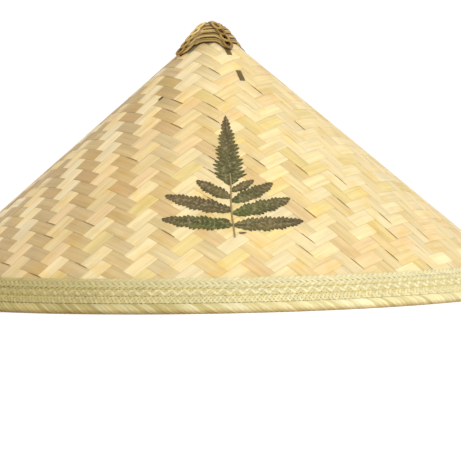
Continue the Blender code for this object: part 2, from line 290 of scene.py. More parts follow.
# Noise scales along a strand, across it, and from one strand to the next
BROAD_GRAIN = (14, 1.3, 7.31)
FINE_GRAIN = (38, 9.0, 5.17)
# Noise scales in space
SOLID_GRAIN = (60, 60, 900)
PATCH_SCALE = 34.0
BLUSH_SCALE = 62.0
FLECK_SCALE = 420.0
# The range that most of a noise's values lie in
MOST = (0.3, 0.7)
FIBRE_SHINE = 0.35
# How strong the bumps are, and how high
FIBRE_BUMP = (0.35, 0.25 * MM)
SOLID_BUMP = (0.3, 0.3 * MM)
# The colour inputs and the colour output of Blender's Mix node
MIX_A, MIX_B, MIX_RESULT = 6, 7, 2


class Nodes:
    """A short way to write a material's nodes."""

    def __init__(self, name):
        self.material = bpy.data.materials.new(name)
        self.material.use_nodes = True
        self.tree = self.material.node_tree
        self.shader = self.tree.nodes["Principled BSDF"]
        self.position = self.node("ShaderNodeNewGeometry").outputs["Position"]

    def node(self, kind, settings=None, **inputs):
        made = self.tree.nodes.new(kind)
        for key, value in (settings or {}).items():
            setattr(made, key, value)
        for key, value in inputs.items():
            self.put(made.inputs[key.replace("_", " ")], value)
        return made

    def put(self, socket, value):
        if isinstance(value, bpy.types.NodeSocket):
            self.tree.links.new(value, socket)
        else:
            socket.default_value = value

    def maths(self, operation, first, second=0.0):
        made = self.node("ShaderNodeMath", {"operation": operation})
        self.put(made.inputs[0], first)
        self.put(made.inputs[1], second)
        return made.outputs[0]

    def attribute(self, name):
        return self.node("ShaderNodeAttribute", {"attribute_name": name})

    def noise(self, vector, scale=1.0, detail=3.0, roughness=0.6):
        made = self.node("ShaderNodeTexNoise", Scale=scale, Detail=detail, Roughness=roughness)
        self.put(made.inputs["Vector"], vector)
        return made.outputs["Fac"]

    def stretched(self, vector, scale):
        return self.node("ShaderNodeMapping", Vector=vector, Scale=scale).outputs["Vector"]

    def remap(self, value, source, low, high):
        """A value from the source range, mapped to run from low to high."""
        made = self.node("ShaderNodeMapRange", Value=value, To_Min=low, To_Max=high)
        self.put(made.inputs["From Min"], source[0])
        self.put(made.inputs["From Max"], source[1])
        return made.outputs["Result"]

    def scaled(self, colour, factor):
        """A colour times a value."""
        made = self.node("ShaderNodeVectorMath", {"operation": "SCALE"}, Scale=factor)
        self.put(made.inputs[0], colour)
        return made.outputs[0]

    def tinted(self, colour, tint):
        """A colour times another."""
        made = self.node("ShaderNodeVectorMath", {"operation": "MULTIPLY"})
        self.put(made.inputs[0], colour)
        self.put(made.inputs[1], tint)
        return made.outputs[0]

    def mix(self, factor, first, second):
        made = self.node("ShaderNodeMix", {"data_type": "RGBA"}, Factor=factor)
        self.put(made.inputs[MIX_A], first)
        self.put(made.inputs[MIX_B], second)
        return made.outputs[MIX_RESULT]

    def finished(self, colour, roughness, height, bump):
        """Gives the shader its colour, its roughness, and bumps of a given strength and distance."""
        strength, distance = bump
        bumps = self.node("ShaderNodeBump", Strength=strength, Distance=distance, Height=height)
        self.put(self.shader.inputs["Base Color"], colour)
        self.put(self.shader.inputs["Roughness"], roughness)
        self.put(self.shader.inputs["Normal"], bumps.outputs["Normal"])
        return self.material


def fibre_material(name, roughness, streak, edge, mottle, sheen=0.0, flecks=None, blush=None):
    """Plant fibre. Its streaks follow each strand's grain, and its base colour is the strand's tone.

    streak, edge and mottle are how much the streaks, a strand's edges and soft patches are darkened; the
    edges' darkening is painted shade, where a strand turns away towards its neighbours.
    blush tints other soft patches, and flecks is the colour of small spots.
    """
    made = Nodes(name)
    grain = made.attribute("grain").outputs["Vector"]
    across = made.maths("ABSOLUTE", made.node("ShaderNodeSeparateXYZ", Vector=grain).outputs["Y"])
    broad = made.noise(made.stretched(grain, BROAD_GRAIN), detail=2.0)
    fine = made.noise(made.stretched(grain, FINE_GRAIN), detail=4.0, roughness=0.7)
    patches = made.noise(made.position, PATCH_SCALE)
    shade = made.remap(broad, MOST, 1 - mottle, 1 + mottle * 0.6)
    shade = made.maths("MULTIPLY", shade, made.remap(fine, MOST, 1 - streak, 1 + streak * 0.5))
    shade = made.maths("MULTIPLY", shade, made.remap(patches, (0.35, 0.7), 1.0, 1 - mottle * 0.5))
    # Painted shade at a strand's edges
    shade = made.maths("MULTIPLY", shade, made.remap(across, (0.88, 1.0), 1.0, 1 - edge))
    colour = made.scaled(made.attribute("tone").outputs["Color"], shade)
    if blush is not None:
        warm = made.remap(made.noise(made.position, BLUSH_SCALE, 2.0), (0.50, 0.68), 0.0, 1.0)
        colour = made.mix(warm, colour, made.tinted(colour, blush))
    if flecks is not None:
        spots = made.remap(made.noise(made.position, FLECK_SCALE, 2.0), (0.50, 0.66), 0.0, 0.75)
        spots = made.maths("MULTIPLY", spots, made.remap(across, (0.5, 0.9), 1.0, 0.0))
        colour = made.mix(spots, colour, (*flecks, 1.0))
    made.shader.inputs["Specular IOR Level"].default_value = FIBRE_SHINE
    made.shader.inputs["Sheen Weight"].default_value = sheen
    uneven = made.remap(fine, MOST, roughness - 0.08, roughness + 0.1)
    return made.finished(colour, uneven, fine, FIBRE_BUMP)


def solid_fibre(name, roughness, tone):
    """The fibre material for a CAD node, which has no strands to take its colour from."""
    made = Nodes(name)
    streaks = made.noise(made.stretched(made.position, SOLID_GRAIN), detail=4.0)
    colour = made.scaled(tone, made.remap(streaks, MOST, 0.75, 1.1))
    uneven = made.remap(streaks, MOST, roughness - 0.1, roughness + 0.1)
    return made.finished(colour, uneven, streaks, SOLID_BUMP)


# The numbers are roughness, streak, edge, mottle and sheen. edge darkens a strand's edges: painted shade
# where strands turn away towards their neighbours, and on the fern a darker rim to each leaf.
BAMBOO = fibre_material("split_bamboo", 0.50, 0.14, 0.16, 0.14, 0.05, blush=(1.0, 0.93, 0.74))
INNER_BAMBOO = fibre_material("rough_bamboo", 0.62, 0.14, 0.35, 0.16)
STRAW = fibre_material("plaited_straw", 0.55, 0.16, 0.50, 0.16, 0.08)
CANE = fibre_material("aged_cane", 0.42, 0.26, 0.45, 0.38)
DARK_CANE = fibre_material("dark_cane", 0.50, 0.30, 0.35, 0.25)
CORD = fibre_material("cotton_cord", 0.85, 0.15, 0.25, 0.08, 0.25)
LEAF = fibre_material("dried_leaf", 0.72, 0.22, 0.30, 0.25)
FERN = fibre_material("pressed_fern", 0.74, 0.34, 0.70, 0.42, flecks=srgb(146, 132, 98))
HIDDEN_BAMBOO = solid_fibre("hidden_bamboo", 0.6, srgb(206, 180, 126))
HIDDEN_CANE = solid_fibre("hidden_dark_cane", 0.55, srgb(120, 102, 56))


# ---- weaves on the cone


def weave_height(position, crossings, sides, sharpness):
    """1 where a strip runs over its crossings and -1 where it runs under them, smooth in between."""
    index = np.clip(np.searchsorted(crossings, position) - 1, 0, len(crossings) - 2)
    share = (position - crossings[index]) / (crossings[index + 1] - crossings[index])
    share = smooth_share((share - 0.5) / sharpness + 0.5, 0, 1)
    return sides[index] * (1 - share) + sides[index + 1] * share


def cone_strip(strands, line, profile, step, end, offset_at, tone_at, width_at=np.ones_like):
    """A strip that would be straight if the cone were cut and unrolled flat.

    line holds the azimuth where the strip comes closest to the tip, how close it comes there, and the
    unrolled cone's angle for each unit of azimuth. offset_at, tone_at and width_at take metres along
    the strip, and width_at gives a share of the profile's width.
    """
    foot, distance, unroll = line
    half_width = np.abs(profile[:, 0]).max()
    reach = math.sqrt(max(end**2 - max(distance - half_width, 0) ** 2, 0))
    along = np.linspace(-reach, reach, max(int(2 * reach / step), 6))
    across = distance + profile[None, :, 0] * width_at(along)[:, None]
    slant = np.minimum(np.hypot(across, along[:, None]), end)
    azimuth = foot + np.arctan2(along[:, None], across) / unroll
    grid = place(slant, azimuth, offset_at(along)[:, None] + profile[None, :, 1])
    strands.add(grid, along, profile[:, 0] / half_width, tone_at(along))


# Outer weave: three sets of strips, each set square to the next on the unrolled cone
TWILL_SETS = 3
TWILL_TURN = math.radians(90)
TWILL_ROWS = 29
TWILL_PITCH = WALL_END / TWILL_ROWS
TWILL_STEP = TWILL_PITCH / 5
TWILL_UNROLL = TWILL_SETS * TWILL_TURN / math.tau
TWILL_FOOT = math.radians(-60)
TWILL_PROFILE = flat_profile(TWILL_PITCH / 2, 0.36 * MM, 0.05 * MM)
TWILL_LIFT = 0.19 * MM
TWILL_SHARPNESS = 0.42
# A strip's width as a share of the pitch, where it falls to the right and where it rises
FALLING_COVER = 0.995
RISING_COVER = 1.010
COVER_CHANGE = 3 * MM
BAMBOO_TONES = weighted(
    (243, 223, 172, 6), (240, 218, 162, 6), (237, 211, 150, 4), (237, 207, 150, 2),
    (230, 207, 138, 1),
)
# Painted shade: falling strips are darker and browner where their grain catches less light, less so on the
# hat's right. All strips are a little darker on its left, away from the light.
FALLING_SHADE_TINT = np.array([0.68, 0.60, 0.47])
FALLING_SHADE_ON_RIGHT = 0.24
FALLING_SHADE_CHANGE = 4 * MM
LEFT_SHADE_TINT = np.array([0.92, 0.90, 0.92])
LEFT_SIDE = (-0.15, 0.70)
# The weave is dark under the crown cap, up to these shares of the way to the cap's edge
CAP_SHADE = 0.2
CAP_SHADE_ENDS = (0.86, 0.97)
# Painted shadow: short dark slivers in the gaps between strips, where they are in shade
GAP_CHANCE = 0.34
GAP_SHADOW_TONE = srgb(138, 102, 54)
GAP_LENGTH = 1.25 * TWILL_PITCH
GAP_FIRST_ROW = 3
GAP_MARGIN = 24 * MM
GAP_OFFSET = -0.02 * MM
# A gap's half thickness, and its half width at its ends
GAP_THIN = 0.02 * MM
GAP_ROUNDNESS = 0.4
GAP_ACROSS = np.array([-1.0, 0.0, 1.0, 0.0])
GAP_HEIGHT = np.array([0.0, 1.0, 0.0, -1.0])
# The one larger slit at the left, a dark sliver of painted shadow: its row, start, length, width and colour
SLIT_SET = 1
SHADOWED_SLIT = (3, -94.5 * MM, 5.4 * MM, 2.4 * MM, srgb(74, 56, 26))


def cap_edges():
    """The azimuths and slants of the crown cap's edge."""
    slant, _, azimuth = on_wall(cad_points("crown_winding"))
    keys = np.round(azimuth, 3)
    azimuths = np.unique(keys)
    return azimuths, np.array([slant[keys == a].max() for a in azimuths])


CAP_AZIMUTHS, CAP_SLANTS = cap_edges()


def cap_edge(azimuth):
    return np.interp(azimuth, CAP_AZIMUTHS, CAP_SLANTS, period=math.tau)


def falling_gap_shadow(strands, foot, row, start, length, width, tone):
    """A thin dark sliver of painted shadow in the gap between two floats that lie side by side, where a row
    begins.
    """
    share = np.linspace(-1, 1, 9)
    along = start + length * (share + 1) / 2
    half = width / 2 * (1 - share**2) ** GAP_ROUNDNESS + GAP_THIN
    across = row * TWILL_PITCH + GAP_ACROSS * half[:, None]
    slant = np.hypot(across, along[:, None])
    azimuth = foot + np.arctan2(along[:, None], across) / TWILL_UNROLL
    grid = place(slant, azimuth, GAP_OFFSET + GAP_HEIGHT * GAP_THIN)
    strands.add(grid, along, np.zeros(4), tone)


def twill_gap_shadows(strands, foot, row):
    """Slivers of painted shadow in gaps at random places where a row begins."""
    for cell in range(row % 4 + 3, TWILL_ROWS, 4):
        inside = math.hypot(row, cell + 1) * TWILL_PITCH < WALL_END - GAP_MARGIN
        if inside and row >= GAP_FIRST_ROW and strands.chance.random() < GAP_CHANCE:
            width = strands.uniform(0.5, 0.9) * MM
            start = (cell + strands.uniform(0.2, 1.0)) * TWILL_PITCH
            falling_gap_shadow(strands, foot, row, start, GAP_LENGTH, width, GAP_SHADOW_TONE)


def twill_shade(azimuth, along, distance):
    """How much of its colour a strip keeps along it: painted shade on falling strips and on the hat's left,
    and under the crown cap.
    """
    left = smooth_share(-np.sin(azimuth), *LEFT_SIDE)[:, None]
    falling = smooth_share(along, -FALLING_SHADE_CHANGE, FALLING_SHADE_CHANGE)[:, None]
    # tan is painted shade on the falling half of a strip
    tan = 1 + (FALLING_SHADE_TINT - 1) * falling * (FALLING_SHADE_ON_RIGHT + (1 - FALLING_SHADE_ON_RIGHT) * left)
    bare = smooth_share(np.hypot(along, distance) / cap_edge(azimuth), *CAP_SHADE_ENDS)[:, None]
    return tan * (1 + (LEFT_SHADE_TINT - 1) * left) * (CAP_SHADE + (1 - CAP_SHADE) * bare)


def twill_strip(strands, foot, row, middle):
    """One strip of the outer weave, which runs over two strips and under two."""
    distance = (row + 0.5) * TWILL_PITCH
    falling_cover = FALLING_COVER * strands.uniform(0.985, 1.01)
    tone = strands.chosen(BAMBOO_TONES)
    number = np.arange(-TWILL_ROWS - 1, TWILL_ROWS + 1)
    crossings = (number + 0.5) * TWILL_PITCH
    over = np.where(number >= 0, (row - number) % 4 < 2, (-number - 1 - row) % 4 >= 2)
    sides = np.where(over, 1.0, -1.0)

    def offset_at(along):
        return middle + TWILL_LIFT * weave_height(along, crossings, sides, TWILL_SHARPNESS)

    def tone_at(along):
        azimuth = foot + np.arctan2(along, distance) / TWILL_UNROLL
        return tone * twill_shade(azimuth, along, distance)

    def width_at(along):
        falling = smooth_share(along, -COVER_CHANGE, COVER_CHANGE)
        return RISING_COVER + (falling_cover - RISING_COVER) * falling

    line = (foot, distance, TWILL_UNROLL)
    cone_strip(strands, line, TWILL_PROFILE, TWILL_STEP, WALL_END, offset_at, tone_at, width_at)


def outer_weave():
    """A 2/2 twill, whose floats stand in columns down the middle of each third of the hat.

    In each third, one set of strips falls to the right and the next set rises to the right.
    """
    _, _, low, high = wall_range("outer_weave")
    strands = Strands("outer_weave", 11)
    for group in range(TWILL_SETS):
        foot = TWILL_FOOT + group * TWILL_TURN / TWILL_UNROLL
        for row in range(TWILL_ROWS):
            twill_strip(strands, foot, row, (low + high) / 2)
            twill_gap_shadows(strands, foot, row)
        if group == SLIT_SET:
            falling_gap_shadow(strands, foot, *SHADOWED_SLIT)
        strands.piece(f"strips_{group + 1}", BAMBOO)


# Inner weave: five sets of strips at 60 degrees to one another, which leave hexagonal holes
HEX_SETS = 5
HEX_TURN = math.radians(60)
HEX_UNROLL = HEX_SETS * HEX_TURN / math.tau
# The sets that a strip crosses, in turns from its own, and whether it runs over (1) or under (-1) them
HEX_CROSSED = ((1, 1.0), (2, -1.0), (-1, -1.0), (-2, 1.0))
HEX_PITCH = 24 * MM
HEX_HALF_WIDTH = 3.2 * MM
HEX_THICKNESS = 0.36 * MM
HEX_CROWN = 0.03 * MM
HEX_LIFT = 0.19 * MM
HEX_SHARPNESS = 0.7
HEX_STEP = 3.2 * MM
HEX_SHORTER = 1 * MM
INNER_TONES = weighted(
    (226, 200, 148, 4), (214, 186, 132, 3), (234, 210, 162, 2), (202, 178, 118, 1),
)


def hex_crossings(distance, end):
    """Where a strip meets the strips of the other sets, and which side of them it runs on."""
    found = []
    for steps, side in HEX_CROSSED:
        turn = steps * HEX_TURN
        for row in range(int(end / HEX_PITCH) + 2):
            other = (row + 0.5) * HEX_PITCH
            position = (other - distance * math.cos(turn)) / math.sin(turn)
            if position * steps > 0 and abs(position) < end * 1.2:
                found.append((position, side))
    return np.array(sorted(found)).T


def hex_strip(strands, foot, row, middle, end):
    """One strip of the inner weave. Its crowned face looks inwards."""
    distance = (row + 0.5) * HEX_PITCH
    crossings, sides = hex_crossings(distance, end)
    tone = strands.chosen(INNER_TONES)
    half_width = HEX_HALF_WIDTH * strands.uniform(0.92, 1.05)
    profile = flat_profile(half_width, HEX_THICKNESS, HEX_CROWN) * (1, -1)

    def offset_at(along):
        return middle + HEX_LIFT * weave_height(along, crossings, sides, HEX_SHARPNESS)

    def tone_at(along):
        return tone

    cone_strip(strands, (foot, distance, HEX_UNROLL), profile, HEX_STEP, end, offset_at, tone_at)


def inner_weave():
    """The open hexagonal weave that carries the lining."""
    _, slant_end, low, high = wall_range("inner_weave")
    strands = Strands("inner_weave", 23)
    end = slant_end - HEX_SHORTER
    for group in range(HEX_SETS):
        for row in range(int(end / HEX_PITCH)):
            hex_strip(strands, group * HEX_TURN / HEX_UNROLL, row, (low + high) / 2, end)
    strands.piece("strips", INNER_BAMBOO)


LEAF_COUNT = 44
LEAF_ROWS = 40
LEAF_THICKNESS = 0.10 * MM
# Half a leaf's width as a share of the leaves' spacing, so that each leaf laps over the next
LEAF_HALF_WIDTH = 0.64
LEAF_BELOW_TIP = 4 * MM
LEAF_SHORTER = 1 * MM
LEAF_WAVE = 0.05
LEAF_GRAIN = 0.6
LEAF_ACROSS = np.array([-1, -0.5, 0, 0.5, 1, 1, 0.5, 0, -0.5, -1])
LEAF_FACE = np.array([1, 1, 1, 1, 1, 0, 0, 0, 0, 0]) * LEAF_THICKNESS
LEAF_TONES = weighted(
    (184, 164, 110, 3), (168, 145, 90, 3), (196, 178, 128, 2), (150, 126, 76, 1),
)


def leaf_lining():
    """Dried leaves laid from the tip to the rim, each one lapping over the next."""
    slant_start, slant_end, low, high = wall_range("leaf_lining")
    strands = Strands("leaf_lining", 31)
    slant = np.linspace(slant_start + LEAF_BELOW_TIP, slant_end - LEAF_SHORTER, LEAF_ROWS)
    tilt = (high - low - LEAF_THICKNESS) * (LEAF_ACROSS + 1) / 2
    for middle in ring(LEAF_COUNT):
        middle = middle + strands.uniform(-0.01, 0.01)
        wave = LEAF_WAVE * np.sin(slant * strands.uniform(14, 30) + strands.uniform(0, 6))
        aside = (LEAF_ACROSS + wave[:, None]) * LEAF_HALF_WIDTH * math.tau / LEAF_COUNT
        grid = place(slant[:, None], middle + aside, low + tilt + LEAF_FACE)
        strands.add(grid, slant * LEAF_GRAIN, LEAF_ACROSS, strands.chosen(LEAF_TONES))
    strands.piece("leaves", LEAF)


# ---- rim

RIM_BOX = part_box("rim_edge_binding")
EDGE_RADIUS = (RIM_BOX[1].z - RIM_BOX[0].z) / 2
EDGE_CENTRE = RIM_BOX[1].x - EDGE_RADIUS
STRAW_TONES = weighted(
    (234, 222, 170, 5), (240, 231, 186, 4), (224, 209, 150, 4), (208, 192, 128, 2),
)
# Painted shade and a real olive tint: round the left side, away from the light, the straw is darker, and
# also greener
OLIVE_AND_SHADE_TINT = np.array([0.60, 0.55, 0.36])
OLIVE_AND_SHADE_SIDE = (0.05, 0.85)
# How far in front of the left the olive, shaded side's middle is, in radians
OLIVE_AND_SHADE_FORWARD = 0.25
# How sharply strands turn back at a braid's edges: near 0 as a sine wave does, and at 1 as a zigzag does
BRAID_TURNBACK = 0.97
BRAID_SAMPLES = 14
# A twill braid's samples for each of its strands, and how flat its floats are
TWILL_BRAID_SAMPLES = 4
FLOAT_FLATNESS = 1.5
# Strands are level where they turn back. How soon they rise or sink fully beyond that.
EDGE_RISE = 3
# The visual braids are wider than in the CAD: their strands bulge into the grooves, and the lowest one
# laps over the top of the rolled edge
BRAID_BULGE = 0.45 * MM
EDGE_LAP = 2.2 * MM
# Each rim braid: node, seed, strands, one cycle's length, a strand's half width and half height, how far it
# swings up and down, and whether it is a twill braid
RIM_BRAIDS = (
    ("rim_braid_lower", 43, 3, 8.0 * MM, 1.05 * MM, 0.62 * MM, 0.60 * MM, False),
    ("rim_braid_middle", 44, 3, 8.6 * MM, 1.15 * MM, 0.62 * MM, 0.60 * MM, False),
    ("rim_braid_upper", 45, 5, 21 * MM, 1.30 * MM, 0.38 * MM, 0.42 * MM, True),
    ("rim_braid_inside", 46, 7, 28 * MM, 1.30 * MM, 0.30 * MM, 0.32 * MM, True),
)


def olive_and_shade(azimuth):
    """The straw is greener round the left side, and darker there as painted shade, away from the light."""
    share = smooth_share(-np.sin(azimuth - OLIVE_AND_SHADE_FORWARD), *OLIVE_AND_SHADE_SIDE)
    return 1 + (OLIVE_AND_SHADE_TINT - 1) * share[:, None]


def braid(strands, placer, count, repeats, half_span, profile, lift, twill, tone_at):
    """A flat braid of count strands round a closed ring.

    placer turns arrays of (share round the ring, distance across, height) into points, and returns the
    upward directions with them. A strand crosses another at every 1 / (2 * count) of its own cycle.
    """
    samples = repeats * (count * TWILL_BRAID_SAMPLES if twill else BRAID_SAMPLES)
    share = np.arange(samples) / samples
    for strand in range(count):
        phase = (share * repeats + strand / count) % 1
        swing = np.arcsin(BRAID_TURNBACK * np.cos(phase * math.tau)) / math.asin(BRAID_TURNBACK)
        back = phase > 0.5
        own = np.where(back, 1 - phase, phase)
        if twill:
            height = np.clip(FLOAT_FLATNESS * np.cos(math.pi * (count * own - 0.25)), -1, 1)
        else:
            height = np.cos(math.tau * count * own)
        height = np.where(back, -height, height)
        height = height * np.clip(np.abs(EDGE_RISE * np.sin(phase * math.tau)), 0, 1)
        centres, normals = placer(share, swing * half_span, height * lift)
        strands.sweep(centres, normals, profile, tone_at(share * math.tau), closed=True)


def rim_braid(node, seed, count, cycle, half_width, half_height, lift, twill):
    """A straw braid on the wall, in the place of a CAD one."""
    slant_from, slant_to, low, high = wall_range(node)
    slant_from -= BRAID_BULGE
    slant_to += EDGE_LAP if node == "rim_braid_lower" else BRAID_BULGE
    middle = (slant_from + slant_to) / 2
    facing = 1 if high > 0 else -1
    offset = (low if facing > 0 else high) + facing * (lift + half_height)
    strands = Strands(node, seed)

    def placer(share, across, height):
        azimuth = share * math.tau
        return place(middle + across, azimuth, offset + facing * height), facing * outward(azimuth)

    def tone_at(azimuth):
        return strands.chosen(STRAW_TONES) * olive_and_shade(azimuth)

    repeats = round(math.tau * middle * COS / cycle)
    half_span = (slant_to - slant_from) / 2 - half_width
    profile = oval(half_width, half_height, 6)
    braid(strands, placer, count, repeats, half_span, profile, lift, twill, tone_at)
    strands.piece("strands", STRAW)


BINDING_SPACING = 3.6 * MM
BINDING_ADVANCE = 22.0 * MM
BINDING_STEPS = 26
BINDING_MOUTH = math.radians(26)
BINDING_HALF_WIDTH = 1.15 * MM
BINDING_HALF_HEIGHT = 0.95 * MM
# Painted shade on the lower half of the rolled edge, which faces down, away from the light
UNDERSIDE_SHADE_TINT = np.array([0.72, 0.60, 0.46])
UNDERSIDE_SHADE_RANGE = (0.0, 0.9)


def edge_binding():
    """The rolled edge: slanting straw strands, each one wrapped from the outer side to the inner one."""
    strands = Strands("rim_edge_binding", 41)
    share = np.linspace(0, 1, BINDING_STEPS)
    turn = math.pi - SLOPE - BINDING_MOUTH - share * (math.tau - 2 * BINDING_MOUTH)
    tube = EDGE_RADIUS - BINDING_HALF_HEIGHT
    radius = EDGE_CENTRE + tube * np.cos(turn)
    height = EDGE_RADIUS + tube * np.sin(turn)
    # under is painted shade where the strands face down
    under = 1 + (UNDERSIDE_SHADE_TINT - 1) * smooth_share(-np.sin(turn), *UNDERSIDE_SHADE_RANGE)[:, None]
    profile = oval(BINDING_HALF_WIDTH, BINDING_HALF_HEIGHT)
    for start in ring(round(math.tau * EDGE_CENTRE / BINDING_SPACING)):
        azimuth = start + share * BINDING_ADVANCE / EDGE_CENTRE
        centres = around(radius, azimuth, height)
        out = around(np.cos(turn), azimuth, np.sin(turn))
        tone = strands.chosen(STRAW_TONES) * olive_and_shade(np.array([start]))
        strands.sweep(centres, out, profile, tone * under)
    strands.piece("strands", STRAW)


STITCH_LENGTH = 4.8 * MM
STITCH_SAMPLES = 8
STITCH_RADIUS = 0.62 * MM
STITCH_DEPTH = 0.45 * MM
THREAD_TONES = weighted((226, 208, 138, 1))


def stitches(node, seed):
    """Running stitches in a groove between two braids."""
    slant_from, slant_to, low, _ = wall_range(node)
    slant = (slant_from + slant_to) / 2
    repeats = round(math.tau * slant * COS / STITCH_LENGTH)
    azimuth = ring(repeats * STITCH_SAMPLES)
    offset = low + STITCH_RADIUS + STITCH_DEPTH * (1 + np.sin(azimuth * repeats))
    strands = Strands(node, seed)
    tone = strands.chosen(THREAD_TONES) * olive_and_shade(azimuth)
    strands.lay(slant, azimuth, offset, oval(STITCH_RADIUS, STITCH_RADIUS, 6), tone, closed=True)
    strands.piece("stitches", CORD)


HOOP_ROWS = 300
HOOP_CORNER = 0.35
HOOP_WAVES = 9
HOOP_WAVE = 0.03
HOOP_CORNERS = ((1, 1), (-1, 1), (-1, -1), (1, -1))


def softened_rectangle(half_a, half_b):
    """A rectangle's outline, with three points on each rounded corner."""
    corner = HOOP_CORNER * min(half_a, half_b)
    outline = []
    for turn, (side_a, side_b) in enumerate(HOOP_CORNERS):
        for step in range(3):
            angle = (turn + step / 2) * math.pi / 2
            a = side_a * (half_a - corner) + corner * math.cos(angle)
            b = side_b * (half_b - corner) + corner * math.sin(angle)
            outline.append((a, b))
    return np.array(outline)


def bamboo_hoop(node, seed, on_cone=False):
    """A split bamboo hoop in the place of a CAD one, slightly uneven.

    Its section is drawn in slants and offsets on the cone, and otherwise in heights and radii.
    """
    if on_cone:
        low_a, high_a, low_b, high_b = wall_range(node)
    else:
        points = cad_points(node)
        low_a, high_a = points[:, 2].min(), points[:, 2].max()
        low_b, high_b = radii(points).min(), radii(points).max()
    strands = Strands(node, seed)
    azimuth = ring(HOOP_ROWS)
    half_a, half_b = (high_a - low_a) / 2, (high_b - low_b) / 2
    outline = softened_rectangle(half_a, half_b)
    wave = 1 - HOOP_WAVE * np.abs(np.sin(azimuth * HOOP_WAVES + strands.uniform(0, 6)))
    a = (low_a + high_a) / 2 + outline[:, 0] * wave[:, None]
    b = (low_b + high_b) / 2 + outline[None, :, 1]
    grid = place(a, azimuth[:, None], b) if on_cone else around(b, azimuth[:, None], a)
    along = azimuth * (low_a * COS if on_cone else high_b)
    strands.add(grid, along, outline[:, 0] / half_a, strands.chosen(INNER_TONES), closed=True)
    strands.piece("bamboo", INNER_BAMBOO)


# ---- crown

CROWN_ROWS = 6
# Where each row's two canes lie, as shares of the row
CANES_IN_ROW = (0.22, 0.58)
CANE_RADIUS = 0.88 * MM
CROWN_SAMPLES = 200
ROW_WAVES = 5
ROW_WAVE = 0.20 * MM
CAP_ROUNDNESS = 2.5
# Under a ridge the canes are pressed in, and darkened with painted shade
PRESSED_IN = 0.35 * MM
PRESSED_SHADE = 0.72
PRESSED_TO = (1.0 * MM, 3.2 * MM)
# A dark layer of painted shade under the rows of cane, which shows in the gaps between them
SHADE_LAYER_DEPTH = 1.8 * MM
SHADE_LAYER_RINGS = 12
SHADE_LAYER_SPAN = (0.02, 0.95)
SHADE_LAYER_OUTER_LEAST = 0.30 * MM
SHADE_LAYER_INNER = 0.20 * MM
SHADE_LAYER_GRAIN = 0.02
# The shade layer is one surface, so it stays clear of the painted shade at a strand's edges
SHADE_LAYER_ACROSS = 0.8
KNOB_RADIUS = 3.4 * MM
KNOB_END = 0.3 * MM
KNOB_BASE = 0.9 * MM
KNOB_RISE = 1.3 * MM
KNOB_TURNS = 2.5
CANE_TONES = weighted(
    (190, 158, 92, 3), (166, 132, 66, 3), (216, 188, 126, 2), (140, 106, 48, 2),
)
KNOB_TONE = srgb(216, 188, 126)
# The shade layer's colour: painted shade
SHADE_LAYER_TONE = srgb(66, 42, 16)
RIDGES = ("crown_ridge_1", "crown_ridge_2", "crown_ridge_3", "crown_ridge_4")
RIDGE_SEEDS = (61, 62, 63, 64)
# How far each ridge's loops lean to the side between the tip and the foot, and the share of the way
# where they cross the ridge's middle
RIDGE_LEANS = (0.0, 4.6 * MM, 0.0, 0.0)
RIDGE_UPRIGHT_AT = 0.70


def middle_azimuth(node):
    _, _, azimuth = on_wall(cad_points(node))
    return math.atan2(np.sin(azimuth).mean(), np.cos(azimuth).mean())


RIDGE_AZIMUTHS = [middle_azimuth(node) for node in RIDGES]
CAP_TOP = cad_points("crown_winding")[:, 2].max() - TIP_CENTRE - TIP_RADIUS


def cap_face(share):
    """The canes' outer offset, from the cap's tip at share 0 to its edge at share 1, on the wall."""
    return CAP_TOP + (2 * CANE_RADIUS - CAP_TOP) * share**CAP_ROUNDNESS


def ridge_aside(lean, share):
    """How far to the side a leaning ridge stands, at a share of the way from the tip to its foot."""
    return lean * (share - RIDGE_UPRIGHT_AT)


def near_ridge(azimuth, slant, share):
    """1 under the middle of a ridge and 0 beside it."""
    distances = []
    for middle, lean in zip(RIDGE_AZIMUTHS, RIDGE_LEANS):
        turn = (azimuth - middle + math.pi) % math.tau - math.pi
        distances.append(np.abs(turn * slant * COS - ridge_aside(lean, share)))
    return 1 - smooth_share(np.min(distances, axis=0), *PRESSED_TO)


def tip_coil(strands):
    """A small coil of cane that stands up on the tip."""
    share = np.linspace(0, 1, 70)
    radius = KNOB_RADIUS + (KNOB_END - KNOB_RADIUS) * share
    centres = around(radius, share * KNOB_TURNS * math.tau, APEX + KNOB_BASE + KNOB_RISE * share)
    strands.sweep(centres, np.array([[0.0, 0.0, 1.0]]), oval(CANE_RADIUS, CANE_RADIUS), KNOB_TONE)


def crown_winding():
    """Rows of paired canes round the tip. They hang lower where they cross a rib."""
    strands = Strands("crown_winding", 53)
    azimuth = ring(CROWN_SAMPLES)
    for row in range(CROWN_ROWS):
        wave = ROW_WAVE * np.sin(azimuth * ROW_WAVES + strands.uniform(0, 6))
        for cane in CANES_IN_ROW:
            share = (row + cane) / CROWN_ROWS
            slant = cap_edge(azimuth) * share + wave
            under = near_ridge(azimuth, slant, share)
            offset = cap_face(share) - CANE_RADIUS - PRESSED_IN * under * (1 - share)
            profile = oval(CANE_RADIUS * strands.uniform(0.94, 1.03), CANE_RADIUS)
            # Painted shade under the ridges
            tone = strands.chosen(CANE_TONES) * (1 - PRESSED_SHADE * under)[:, None]
            strands.lay(slant, azimuth, offset, profile, tone, closed=True)
    tip_coil(strands)
    strands.piece("canes", CANE)


